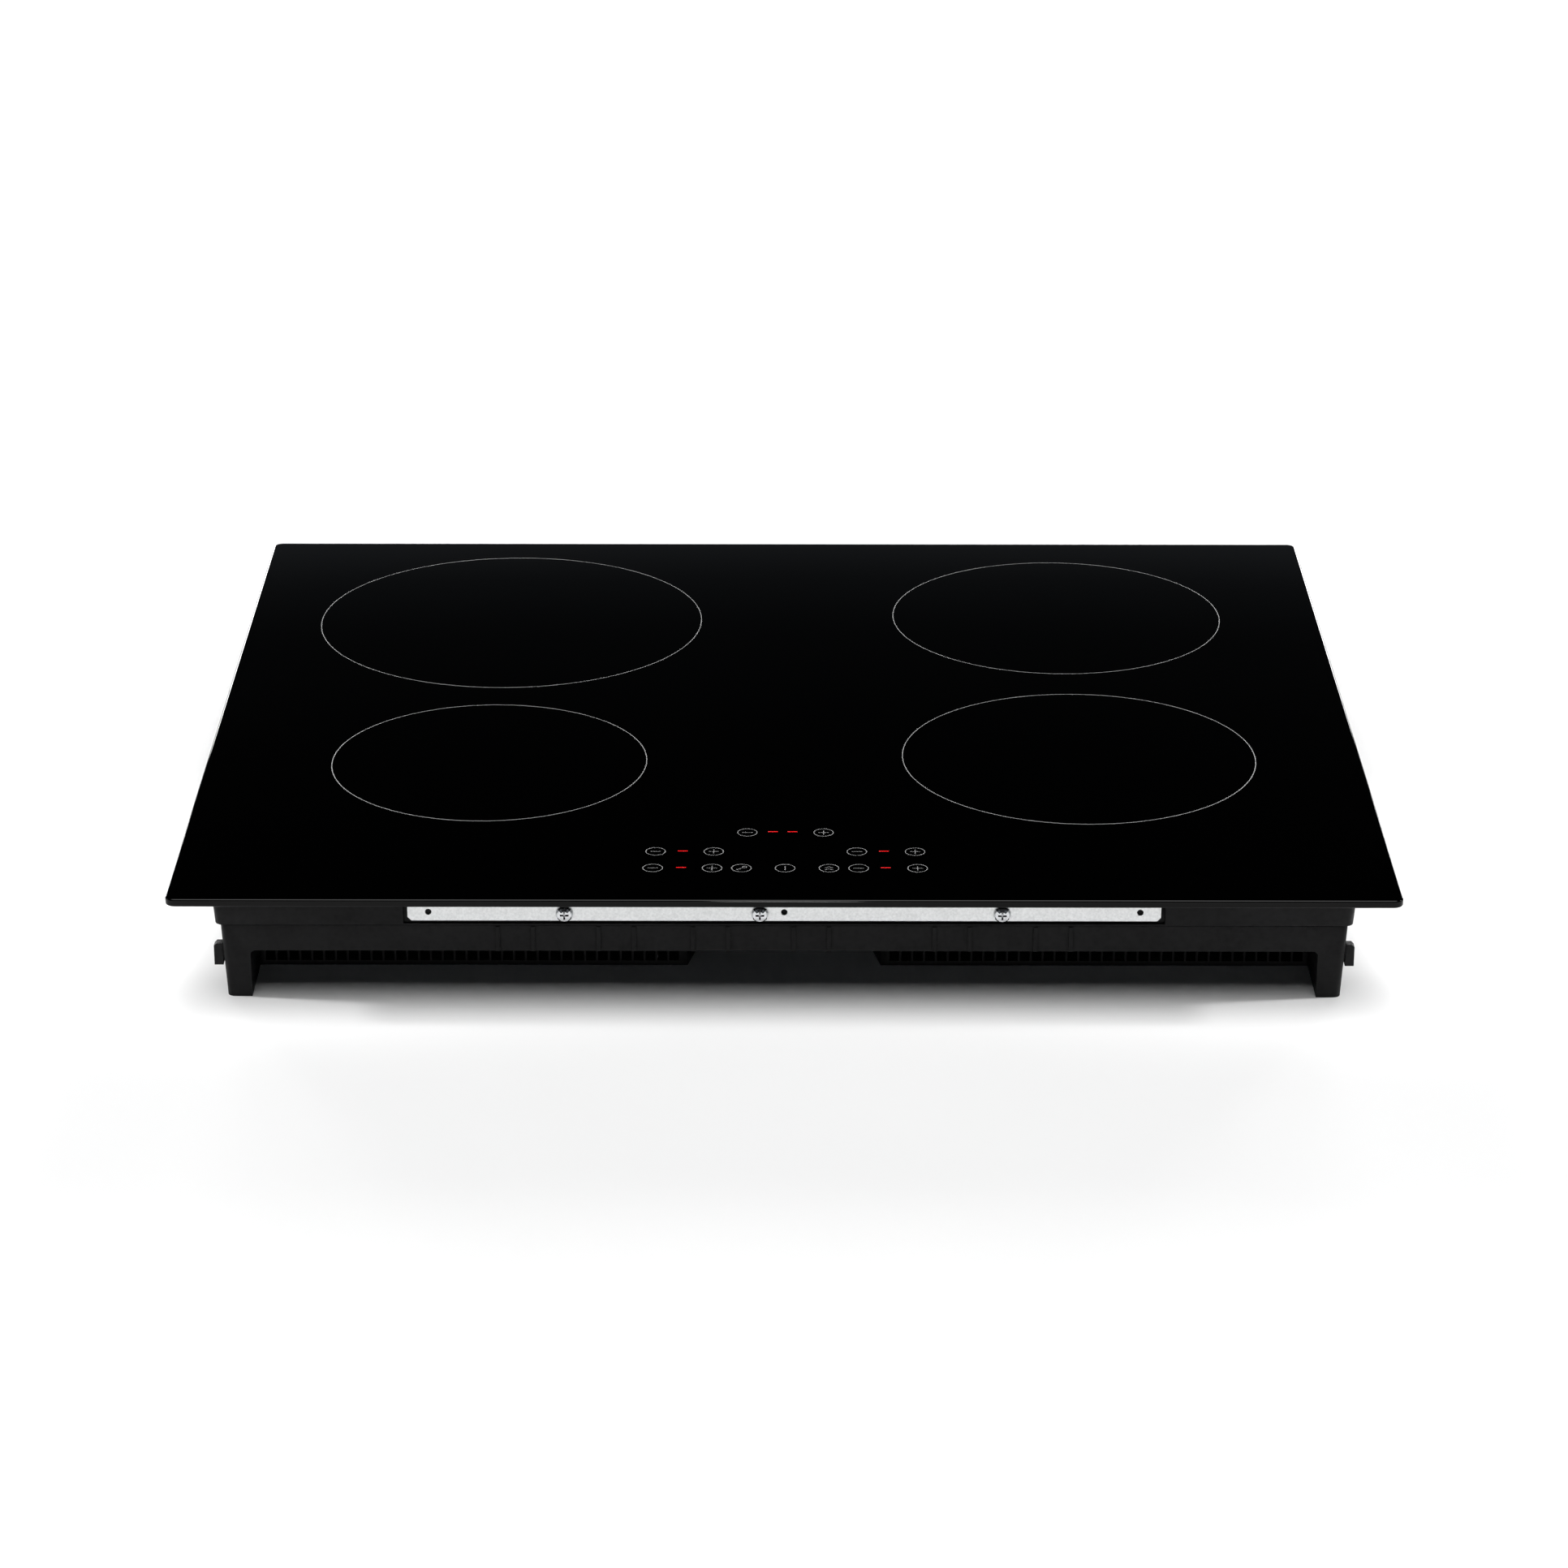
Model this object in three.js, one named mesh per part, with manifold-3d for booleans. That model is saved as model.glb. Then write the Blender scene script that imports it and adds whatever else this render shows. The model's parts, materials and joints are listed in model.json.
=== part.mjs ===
// A four-zone built-in induction cooktop: a black glass plate bonded to a plastic frame, with a vented
// bottom tray below it that holds the coils, power electronics, blowers and touch control.
// Millimetres, +Z up. The origin is on the surface that the legs stand on, under the middle of the glass.
// The front, where the touch control is, faces -Y.

import * as THREE from "three";
import { mergeVertices } from "three/addons/utils/BufferGeometryUtils.js";
import Module from "manifold-3d";

const wasm = await Module();
wasm.setup();

// ---------------------------------------------------------------- driving dimensions

const HEIGHT = 60; // standing surface to the cooking surface
const GAP = 0.3; // air between pieces that touch on the real object
const SIDES = ["left", "right"];
const sign = (side) => (side === "left" ? -1 : 1);

const GLASS = { width: 590, depth: 520, thickness: 4, corner: 5, bevel: 0.8 };
const GLASS_UNDER = HEIGHT - GLASS.thickness;

// Half sizes at the bottom and top of each drafted wall, x across and y front to back.
const FRAME = {
  bottom: 38.4,
  top: GLASS_UNDER - GAP,
  low: { x: 273.9, y: 240.8 },
  high: { x: 275.2, y: 241.8 },
  corner: 4,
  inner: { x: 271.4, y: 237.9 },
  ledgeReach: 5, // the ledge sits on the tray's lip and carries the silicone bead
  beadHeight: 1,
};
const TRAY = {
  shoulder: 38.1, // where the drafted outside wall ends and the lip inside the frame begins
  lipTop: 50,
  low: { x: 269.4, y: 238.8 },
  high: { x: 271.5, y: 240.2 },
  lip: { x: 271.1, y: 237.6 },
  corner: 3.5,
  wall: 2.2,
};
const UNDERCUT = { halfWidth: 257.4, back: -201.5, height: 24.6, fillet: 2.5 };
const BAY = { frontHalf: 47.5, backHalf: 41.5, depth: 28 };
const VENT = { first: 255.2, pitch: 5.83, count: 35, low: 4.9, high: 4.2, bottom: 2.4, top: 21 };

const SEAL = { outer: 8, width: 6, height: 2.5 }; // outer is measured in from the edge of the glass
const BRACKET = { length: 362, bottom: 40.9, height: 10.5, thickness: 1.2, chamfer: 1.8, pocketDepth: 1.6 };
const BRACKET_HOLES = { x: [-171, 0, 171], z: 45.4, radius: 1.6 };
const BRACKET_SCREWS = { x: { left: -105.6, middle: -11.7, right: 104.7 }, z: 44.6, radius: 1.9, length: 10 };
const SCREW_HEAD = { radius: 4.2, height: 2.4 };
const BAND_RIB = { offsets: [-32.3, -15.3, 16.3, 33.3], width: 2, proud: 0.6 };
const LATCH = { bottom: 15.4, top: 26.5, length: 5, reach: 275.4, gap: 0.8, y: { front: -233.5, rear: 206 } };

const ZONES = [
  { name: "rear_left", x: -150.7, y: 129.4, ring: 210 },
  { name: "rear_right", x: 150.3, y: 136.8, ring: 181 },
  { name: "front_left", x: -150.6, y: -81.3, ring: 161 },
  { name: "front_right", x: 150.7, y: -74.5, ring: 181 },
];
const COIL = { inset: 10, innerRadius: 22, winding: 4, disc: 3, rib: 3.9, rim: 1.5, segments: 28 };
const COIL_PLATE = { z: 41, thickness: 1.5, inner: 8, outer: 262, front: -158, back: 232 };

const BOARD = { inner: 24, outer: 248, front: -164, back: 50, z: 8, thickness: 1.6 };
const HEATSINK = { x: 150, width: 84, front: -60, back: 46, base: 4, height: 26, fins: 10, fin: 1.6 };
const BLOWER = {
  x: 150,
  y: 118,
  bottom: 2.5,
  height: 28.5,
  wall: 1.8,
  big: 56, // largest and smallest radius of the spiral case
  small: 45,
  intake: 34,
  outlet: 58,
};
const ROTOR = { radius: 40, blades: 14, hub: 15, shaft: 2, bore: 2.1, clearance: 2.2 };

const CARRIER = { halfWidth: 96, front: -231, back: -163.5, z: 44.5, wall: 1.6, height: 5.5 };
const TOUCH_KEYS = [
  [-18.4, -176.1], [19.1, -176.1],
  [-62.9, -200.8], [-34.6, -200.8], [35, -200.8], [63.4, -200.8],
  [-63.9, -221.5], [-35.2, -221.5], [35.6, -221.5], [64.1, -221.5],
  [-21, -221.5], [0.1, -221.5], [21.3, -221.5],
];
const DISPLAYS = {
  zone_display_rear_left: { x: -49.5, y: -200, width: 10 },
  zone_display_rear_right: { x: 48.5, y: -200, width: 10 },
  zone_display_front_left: { x: -49.9, y: -220.6, width: 10 },
  zone_display_front_right: { x: 49, y: -220.6, width: 10 },
  timer_display: { x: -0.8, y: -175.4, width: 19.5 },
};
const DISPLAY_SIZE = { depth: 13.6, height: 6.4 };

const TERMINAL = { left: 128, right: 238, front: 196, wall: 2 }; // the compartment for the mains terminals
const COVER = { left: 131, right: 209, bottom: 4.5, y: 240.5, thickness: 1.8 };
const COVER_HINGE = { y: 242.4, z: 35.6, barrel: 1.9, bore: 1.08, pin: 1, ear: 2.4 };
const GLAND = { x: 222.5, z: 18, bore: 5.5, body: 9, flange: 11 };

// ---------------------------------------------------------------- materials

const look = (color, roughness, metalness = 0) =>
  new THREE.MeshStandardMaterial({ color, roughness, metalness });
const MATERIALS = {
  glass: look(0x050506, 0.06),
  blackPlastic: look(0x1d1e1f, 0.6),
  darkPlastic: look(0x141516, 0.7),
  foam: look(0x17181a, 0.95),
  silicone: look(0x2a2c2e, 0.8),
  zinc: look(0xc9cccd, 0.45, 0.8),
  steel: look(0xb4b8bb, 0.3, 1),
  aluminium: look(0xb9bcc0, 0.4, 1),
  copper: look(0xb5652e, 0.4, 0.7),
  former: look(0x33363a, 0.6),
  mica: look(0xa69c84, 0.6),
  circuit: look(0x1f5a34, 0.5),
  capacitor: look(0xb8a24a, 0.5),
  ferrite: look(0x3a3b3e, 0.7),
  ceramic: look(0xd9d4c8, 0.6),
  display: look(0x1a0606, 0.3),
  wire: look(0x6d6f73, 0.6),
};

// ---------------------------------------------------------------- shapes and solids

function solidOf(geometry) {
  const flat = geometry.index ? geometry.toNonIndexed() : geometry;
  const bare = new THREE.BufferGeometry().setAttribute("position", flat.getAttribute("position"));
  const merged = mergeVertices(bare, 1e-4);
  const mesh = new wasm.Mesh({
    numProp: 3,
    vertProperties: merged.attributes.position.array,
    triVerts: new Uint32Array(merged.index.array),
  });
  return new wasm.Manifold(mesh);
}

function geometryOf(solid) {
  const { numProp, numVert, vertProperties, triVerts } = solid.getMesh();
  const positions = new Float32Array(numVert * 3);
  for (let i = 0; i < numVert; i++) {
    positions.set(vertProperties.subarray(i * numProp, i * numProp + 3), i * 3);
  }
  const geometry = new THREE.BufferGeometry();
  geometry.setAttribute("position", new THREE.BufferAttribute(positions, 3));
  geometry.setIndex(new THREE.BufferAttribute(triVerts, 1));
  geometry.computeVertexNormals();
  return geometry;
}

const join = (first, ...rest) => rest.reduce((made, next) => made.add(next), first);
const cut = (first, ...rest) => rest.reduce((made, next) => made.subtract(next), first);

function prism(shape, z0, z1, curveSegments = 4) {
  const settings = { depth: z1 - z0, bevelEnabled: false, curveSegments };
  return new THREE.ExtrudeGeometry(shape, settings).translate(0, 0, z0);
}

// A shape drawn in x and z, carried along y from y0 to y1.
const prismAlongY = (shape, y0, y1, curveSegments = 4) =>
  prism(shape, 0, y1 - y0, curveSegments).rotateX(Math.PI / 2).translate(0, y1, 0);

// A shape drawn in y and z, carried along x from x0 to x1.
const X_FROM_Z = new THREE.Matrix4().makeBasis(
  new THREE.Vector3(0, 1, 0),
  new THREE.Vector3(0, 0, 1),
  new THREE.Vector3(1, 0, 0),
);
const prismAlongX = (shape, x0, x1, curveSegments = 4) =>
  prism(shape, 0, x1 - x0, curveSegments).applyMatrix4(X_FROM_Z).translate(x0, 0, 0);

const block = (x0, x1, y0, y1, z0, z1) =>
  new THREE.BoxGeometry(x1 - x0, y1 - y0, z1 - z0).translate((x0 + x1) / 2, (y0 + y1) / 2, (z0 + z1) / 2);

function rod(x, y, z0, z1, radius, segments = 12, topRadius = radius) {
  const upright = new THREE.CylinderGeometry(topRadius, radius, z1 - z0, segments);
  return upright.rotateX(Math.PI / 2).translate(x, y, (z0 + z1) / 2);
}

const rodAlongY = (x, z, y0, y1, radius, segments = 12) =>
  new THREE.CylinderGeometry(radius, radius, y1 - y0, segments).translate(x, (y0 + y1) / 2, z);

function rodAlongX(y, z, x0, x1, radius, segments = 10) {
  const upright = new THREE.CylinderGeometry(radius, radius, x1 - x0, segments);
  return upright.rotateZ(Math.PI / 2).translate((x0 + x1) / 2, y, z);
}

function polygon(points) {
  return new THREE.Shape(points.map(([x, y]) => new THREE.Vector2(x, y)));
}

function roundedRectangle(halfWidth, halfDepth, radius, x = 0, y = 0) {
  const quarter = Math.PI / 2;
  const shape = new THREE.Shape();
  shape.absarc(x + halfWidth - radius, y + halfDepth - radius, radius, 0, quarter);
  shape.absarc(x - halfWidth + radius, y + halfDepth - radius, radius, quarter, 2 * quarter);
  shape.absarc(x - halfWidth + radius, y - halfDepth + radius, radius, 2 * quarter, 3 * quarter);
  shape.absarc(x + halfWidth - radius, y - halfDepth + radius, radius, 3 * quarter, 4 * quarter);
  shape.closePath();
  return shape;
}

// A block with rounded corners whose half sizes change from low at z0 to high at z1.
function draftedBlock(low, high, z0, z1, radius) {
  const geometry = prism(roundedRectangle(low.x, low.y, radius), z0, z1, 3);
  const position = geometry.getAttribute("position");
  for (let i = 0; i < position.count; i++) {
    const share = (position.getZ(i) - z0) / (z1 - z0);
    position.setX(i, position.getX(i) * THREE.MathUtils.lerp(1, high.x / low.x, share));
    position.setY(i, position.getY(i) * THREE.MathUtils.lerp(1, high.y / low.y, share));
  }
  return geometry;
}

const inset = (size, by) => ({ x: size.x - by, y: size.y - by });

// A turned solid about the z axis through x, y. The profile runs [radius, z] and ends on the axis or closes.
function turned(profile, x, y, segments = 20) {
  const points = profile.map(([radius, z]) => new THREE.Vector2(radius, z));
  return new THREE.LatheGeometry(points, segments).rotateX(Math.PI / 2).translate(x, y, 0);
}

function ring(x, y, z0, z1, inner, outer, segments = COIL.segments) {
  const profile = [[inner, z0], [outer, z0], [outer, z1], [inner, z1], [inner, z0]];
  return turned(profile, x, y, segments);
}

function tube(points, radius, steps, sides = 8) {
  const section = new THREE.Shape().absarc(0, 0, radius, 0, 2 * Math.PI);
  const extrudePath = new THREE.CatmullRomCurve3(points.map((p) => new THREE.Vector3(...p)));
  const settings = { steps, extrudePath, bevelEnabled: false, curveSegments: sides / 2 };
  return new THREE.ExtrudeGeometry(section, settings);
}

const cooktop = new THREE.Group();

function add(name, shape, material) {
  const geometry = shape.isBufferGeometry ? shape : geometryOf(shape);
  const mesh = new THREE.Mesh(geometry, material);
  mesh.name = name;
  cooktop.add(mesh);
}

// ---------------------------------------------------------------- glass, seal and frame

function glassTop() {
  const { width, depth, thickness, corner, bevel } = GLASS;
  return new THREE.ExtrudeGeometry(roundedRectangle(width / 2, depth / 2, corner), {
    depth: thickness - 2 * bevel,
    bevelThickness: bevel,
    bevelSize: bevel,
    bevelOffset: -bevel,
    bevelSegments: 2,
    curveSegments: 4,
  }).translate(0, 0, GLASS_UNDER + bevel);
}

// The foam strip under the overhang, which rests on the worktop round the cut-out.
function glassSeal() {
  const top = GLASS_UNDER - GAP;
  const half = { x: GLASS.width / 2 - SEAL.outer, y: GLASS.depth / 2 - SEAL.outer };
  const outside = solidOf(draftedBlock(half, half, top - SEAL.height, top, 4));
  const within = inset(half, SEAL.width);
  return cut(outside, solidOf(draftedBlock(within, within, 0, HEIGHT, 1)));
}

const LEDGE_TOP = FRAME.top - FRAME.beadHeight - GAP;

// The silicone that bonds the glass to the frame's ledge.
function adhesiveBead() {
  const outer = inset(FRAME.inner, GAP);
  const inner = inset(outer, FRAME.ledgeReach - 2 * GAP);
  const outside = solidOf(draftedBlock(outer, outer, FRAME.top - FRAME.beadHeight, FRAME.top, 2));
  return cut(outside, solidOf(draftedBlock(inner, inner, 0, HEIGHT, 1)));
}

const screwHole = (x, y0, y1) =>
  solidOf(rodAlongY(x, BRACKET_SCREWS.z, y0, y1, BRACKET_SCREWS.radius + GAP, 10));

function upperFrame() {
  const { inner, ledgeReach } = FRAME;
  const outside = solidOf(draftedBlock(FRAME.low, FRAME.high, FRAME.bottom, FRAME.top, FRAME.corner));
  const opening = inset(inner, ledgeReach);
  const ledgeUnder = TRAY.lipTop + GAP;
  const pocketHalf = BRACKET.length / 2 + 2;
  const pocketFace = -FRAME.low.y + BRACKET.pocketDepth;
  const pocket = block(-pocketHalf, pocketHalf, -GLASS.depth / 2, pocketFace, BRACKET.bottom - 1.4, HEIGHT);
  const screws = Object.values(BRACKET_SCREWS.x).map((x) => screwHole(x, -GLASS.depth / 2, 0));
  return cut(
    outside,
    solidOf(draftedBlock(inner, inner, 0, ledgeUnder, 2)),
    solidOf(draftedBlock(inner, inner, LEDGE_TOP, HEIGHT, 2)),
    solidOf(draftedBlock(opening, opening, 0, HEIGHT, 2)),
    solidOf(pocket),
    ...screws,
  );
}

// ---------------------------------------------------------------- bottom tray

// Half width or half depth of the tray's outside wall at a height.
const trayHalf = (axis, z) => THREE.MathUtils.mapLinear(z, 0, TRAY.shoulder, TRAY.low[axis], TRAY.high[axis]);

// The space under the front band, between the legs; grown by a wall it gives the inside of the tray.
function undercut(grow) {
  const { halfWidth, back, height, fillet } = UNDERCUT;
  const half = halfWidth + grow;
  const top = height + grow;
  const shape = new THREE.Shape();
  shape.moveTo(-half, -1);
  shape.lineTo(half, -1);
  shape.absarc(half - fillet, top - fillet, fillet, 0, Math.PI / 2);
  shape.absarc(-half + fillet, top - fillet, fillet, Math.PI / 2, Math.PI);
  shape.closePath();
  const bay = polygon([
    [-BAY.frontHalf - grow, back - 5],
    [BAY.frontHalf + grow, back - 5],
    [BAY.frontHalf + grow, back + grow],
    [BAY.backHalf + grow, back + BAY.depth + grow],
    [-BAY.backHalf - grow, back + BAY.depth + grow],
    [-BAY.frontHalf - grow, back + grow],
  ]);
  return join(
    solidOf(prismAlongY(shape, -GLASS.depth / 2, back + grow, 3)),
    solidOf(prism(bay, -1, top)),
  );
}

// Comb of air outlet slots across the recessed wall, on both sides of the bay.
function outletSlots() {
  const slots = [];
  for (let i = 0; i < VENT.count; i++) {
    const centre = VENT.first - VENT.pitch * (i + 0.5);
    for (const x of [-centre, centre]) {
      const slot = polygon([
        [x - VENT.low / 2, VENT.bottom],
        [x + VENT.low / 2, VENT.bottom],
        [x + VENT.high / 2, VENT.top],
        [x - VENT.high / 2, VENT.top],
      ]);
      slots.push(solidOf(prismAlongY(slot, UNDERCUT.back - 2, UNDERCUT.back + TRAY.wall + 2)));
    }
  }
  return slots;
}

// A round field of straight slots under a blower, with two bars across it.
function intakeSlots(centreX, centreY) {
  const pitch = 8;
  const width = 5;
  const radius = 42;
  const bars = [-14, 14];
  const slots = [];
  for (let x = -4.5 * pitch; x < 5 * pitch; x += pitch) {
    const reach = Math.sqrt(radius ** 2 - x ** 2);
    const edges = [-reach, bars[0] - 1.5, bars[0] + 1.5, bars[1] - 1.5, bars[1] + 1.5, reach];
    for (let k = 0; k < edges.length; k += 2) {
      const length = edges[k + 1] - edges[k];
      if (length > width) {
        const left = centreX + x - width / 2;
        const [near, far] = [centreY + edges[k], centreY + edges[k + 1]];
        slots.push(solidOf(block(left, left + width, near, far, -1, TRAY.wall + 1)));
      }
    }
  }
  return slots;
}

function rearSlots() {
  const slots = [];
  for (const start of [-236, -82]) {
    for (let i = 0; i < 14; i++) {
      const x = start + 9 * i;
      slots.push(solidOf(block(x, x + 4.6, 230, 250, 9, 28)));
    }
  }
  return slots;
}

const POSTS = [
  [-256, 222], [256, 222], [-16, 222], [16, 222], [-256, 30], [256, 30],
  [-16, 30], [16, 30], [-256, -150], [256, -150], [-16, -150], [16, -150],
];
const boardPegs = () =>
  SIDES.flatMap((side) =>
    [BOARD.inner + 8, BOARD.outer - 8].flatMap((x) =>
      [BOARD.front + 8, BOARD.back - 8].map((y) => [sign(side) * x, y])),
  );

function trayPosts() {
  const shelf = UNDERCUT.height + TRAY.wall - 0.5;
  const carrierFoot = CARRIER.z - GAP;
  return [
    ...POSTS.map(([x, y]) => rod(x, y, 1, COIL_PLATE.z - GAP, 5, 8, 4.2)),
    ...boardPegs().map(([x, y]) => rod(x, y, 1, BOARD.z - GAP, 3.5, 8)),
    ...[-84, 84].map((x) => rod(x, CARRIER.front + 8, shelf, carrierFoot, 4.5, 8, 3.6)),
    ...[-84, 84].map((x) => rod(x, CARRIER.back - 8, 1, carrierFoot, 5, 8, 3.6)),
  ].map(solidOf);
}

// Walls of the mains compartment, and the two ears that carry the cover's pin.
function terminalWalls() {
  const { left, right, front, wall } = TERMINAL;
  const top = 37;
  const back = TRAY.low.y - 1;
  const ear = COVER_HINGE.ear;
  const earShape = new THREE.Shape();
  earShape.moveTo(back, COVER_HINGE.z - COVER_HINGE.barrel);
  earShape.absarc(COVER_HINGE.y, COVER_HINGE.z, COVER_HINGE.barrel, -Math.PI / 2, Math.PI / 2);
  earShape.lineTo(back, COVER_HINGE.z + COVER_HINGE.barrel);
  const passage = solidOf(block(left + 4, left + 32, front - 1, front + wall + 1, 3, 24));
  return join(
    solidOf(block(left, left + wall, front, back, 1, top)),
    solidOf(block(right - wall, right, front, back, 1, top)),
    cut(solidOf(block(left, right, front, front + wall, 1, top)), passage),
    solidOf(prismAlongX(earShape, COVER.left - GAP - ear, COVER.left - GAP, 4)),
    solidOf(prismAlongX(earShape, COVER.right + GAP, COVER.right + GAP + ear, 4)),
  );
}

// The latch's tongue, and the slot that it passes through in the tray's side wall.
const TONGUE = { halfWidth: 2, bottom: 20.6, top: 26, barbReach: 1.6, barbDrop: 1.6 };
const latchSlot = (side, y) => {
  const x = [sign(side) * (TRAY.low.x - 10), sign(side) * (TRAY.low.x + 10)].sort((a, b) => a - b);
  const half = TONGUE.halfWidth + GAP;
  return solidOf(block(...x, y - half, y + half, TONGUE.bottom - GAP, TONGUE.top + GAP));
};

function bottomTray() {
  const { low, high, lip, shoulder, lipTop, corner, wall } = TRAY;
  const outside = join(
    solidOf(draftedBlock(low, high, 0, shoulder, corner)),
    solidOf(draftedBlock(lip, lip, shoulder - 1, lipTop, corner)),
  );
  const insideLow = inset(low, wall);
  const insideHigh = inset(lip, wall);
  const cavity = cut(solidOf(draftedBlock(insideLow, insideHigh, wall, lipTop + 1, 2)), undercut(wall));
  const shell = cut(outside, undercut(0), cavity);
  const ribs = Object.values(BRACKET_SCREWS.x).flatMap((centre) =>
    BAND_RIB.offsets.map((offset) => {
      const x = centre + offset;
      const half = BAND_RIB.width / 2;
      const face = -TRAY.high.y - BAND_RIB.proud;
      return solidOf(block(x - half, x + half, face, face + 2, UNDERCUT.height + GAP, shoulder - 0.5));
    }),
  );
  const bosses = Object.values(BRACKET_SCREWS.x).map((x) =>
    solidOf(rodAlongY(x, BRACKET_SCREWS.z, -TRAY.lip.y + 1, CARRIER.front - 0.5, 4.5)),
  );
  const window = block(COVER.left + 5, COVER.right - 5, TRAY.low.y - 5, TRAY.low.y + 5, 7.5, 31.5);
  const latches = SIDES.flatMap((side) => Object.values(LATCH.y).map((y) => latchSlot(side, y)));
  return cut(
    join(shell, ...ribs, ...bosses, ...trayPosts(), terminalWalls()),
    ...outletSlots(),
    ...SIDES.flatMap((side) => intakeSlots(sign(side) * BLOWER.x, BLOWER.y)),
    ...rearSlots(),
    ...latches,
    ...Object.values(BRACKET_SCREWS.x).map((x) => screwHole(x, -GLASS.depth / 2, CARRIER.front)),
    solidOf(window),
    solidOf(rodAlongY(GLAND.x, GLAND.z, 230, 250, GLAND.body + 0.5, 16)),
    solidOf(rodAlongX(COVER_HINGE.y, COVER_HINGE.z, 120, 220, COVER_HINGE.pin + GAP)),
  );
}

// A snap-in spacer: a pad that stands just off the wall, a tongue through the wall and a barb behind it.
function sideLatch(side, y) {
  const { bottom, top, length, reach, gap } = LATCH;
  const wallAt = (z) => trayHalf("x", z) + gap;
  const chamfer = 1.2;
  const pad = polygon([
    [wallAt(bottom), bottom],
    [reach, bottom],
    [reach, top - chamfer],
    [reach - chamfer, top],
    [wallAt(top), top],
  ]);
  const { halfWidth, barbReach, barbDrop, bottom: low, top: high } = TONGUE;
  const barbX = TRAY.low.x - TRAY.wall - 2 * GAP;
  const [front, back] = [y - halfWidth, y + halfWidth];
  const made = join(
    solidOf(prismAlongY(pad, y - length / 2, y + length / 2)),
    solidOf(block(barbX, reach - chamfer, front, back, low, high)),
    solidOf(block(barbX - barbReach, barbX, front, back, low - barbDrop, high)),
  );
  return side === "left" ? made.mirror([1, 0, 0]) : made;
}

// ---------------------------------------------------------------- front bracket

function frontBracket() {
  const half = BRACKET.length / 2;
  const { bottom, height, chamfer, thickness } = BRACKET;
  const outline = polygon([
    [-half + chamfer, bottom],
    [half - chamfer, bottom],
    [half, bottom + chamfer],
    [half, bottom + height],
    [-half, bottom + height],
    [-half, bottom + chamfer],
  ]);
  const back = -FRAME.low.y + BRACKET.pocketDepth - GAP;
  const holes = BRACKET_HOLES.x.map((x) =>
    solidOf(rodAlongY(x, BRACKET_HOLES.z, back - 5, back + 5, BRACKET_HOLES.radius)),
  );
  const screws = Object.values(BRACKET_SCREWS.x).map((x) => screwHole(x, back - 5, back + 5));
  return cut(solidOf(prismAlongY(outline, back - thickness, back)), ...holes, ...screws);
}

// A pan-head screw with a cross recess, along +Y from the face of the bracket.
function bracketScrew(x) {
  const seat = -FRAME.low.y + BRACKET.pocketDepth - 2 * GAP - BRACKET.thickness;
  const { radius, height } = SCREW_HEAD;
  const { radius: shank, length, z } = BRACKET_SCREWS;
  const profile = [[0, -height], [radius * 0.45, -height * 0.95], [radius * 0.8, -height * 0.68]];
  profile.push([radius, -height * 0.2], [radius, 0], [shank, 0], [shank, length - 2], [0, length]);
  const points = profile.map(([r, y]) => new THREE.Vector2(r, y));
  const body = solidOf(new THREE.LatheGeometry(points, 14).translate(x, seat, z));
  const arm = 2.1;
  const half = 0.45;
  const face = seat - height;
  return cut(
    body,
    solidOf(block(x - arm, x + arm, face - 1, face + 1.3, z - half, z + half)),
    solidOf(block(x - half, x + half, face - 1, face + 1.3, z - arm, z + arm)),
  );
}

// ---------------------------------------------------------------- coils

const coilRadius = (zone) => zone.ring / 2 - COIL.inset;
const FORMER_BASE = COIL_PLATE.z + COIL_PLATE.thickness + GAP;
const DISC_UNDER = FORMER_BASE + COIL.rib;
const DISC_TOP = DISC_UNDER + COIL.disc;
const WINDING_TOP = DISC_TOP + GAP + COIL.winding;

// Disc that the winding lies on, with a rim round it and six channels for the ferrite bars below.
function coilFormer(zone) {
  const outer = coilRadius(zone) + 2;
  const rimInside = outer - COIL.rim;
  const rimTop = WINDING_TOP - 0.4;
  const profile = [[9, DISC_UNDER], [outer, DISC_UNDER], [outer, rimTop], [rimInside, rimTop]];
  profile.push([rimInside, DISC_TOP], [9, DISC_TOP], [9, DISC_UNDER]);
  const channels = [];
  for (let i = 0; i < 6; i++) {
    const bar = block(COIL.innerRadius, outer - 8, -7, 7, FORMER_BASE, DISC_UNDER + 0.5);
    channels.push(solidOf(bar.rotateZ(i * Math.PI / 3).translate(zone.x, zone.y, 0)));
  }
  return join(solidOf(turned(profile, zone.x, zone.y, COIL.segments)), ...channels);
}

function coilWinding(zone) {
  return ring(zone.x, zone.y, DISC_TOP + GAP, WINDING_TOP, COIL.innerRadius, coilRadius(zone));
}

function micaSheet(zone) {
  return ring(zone.x, zone.y, WINDING_TOP + GAP, WINDING_TOP + GAP + 0.6, 10, coilRadius(zone) + 1.5);
}

// The spring-loaded silicone button that holds the thermistor against the glass.
function temperatureSensor(zone) {
  const seat = DISC_TOP + GAP;
  const profile = [[0, DISC_UNDER - 1], [8, DISC_UNDER - 1], [8, seat], [13, seat], [8, WINDING_TOP]];
  profile.push([7.5, GLASS_UNDER - GAP], [0, GLASS_UNDER - GAP]);
  return turned(profile, zone.x, zone.y, 14);
}

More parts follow.
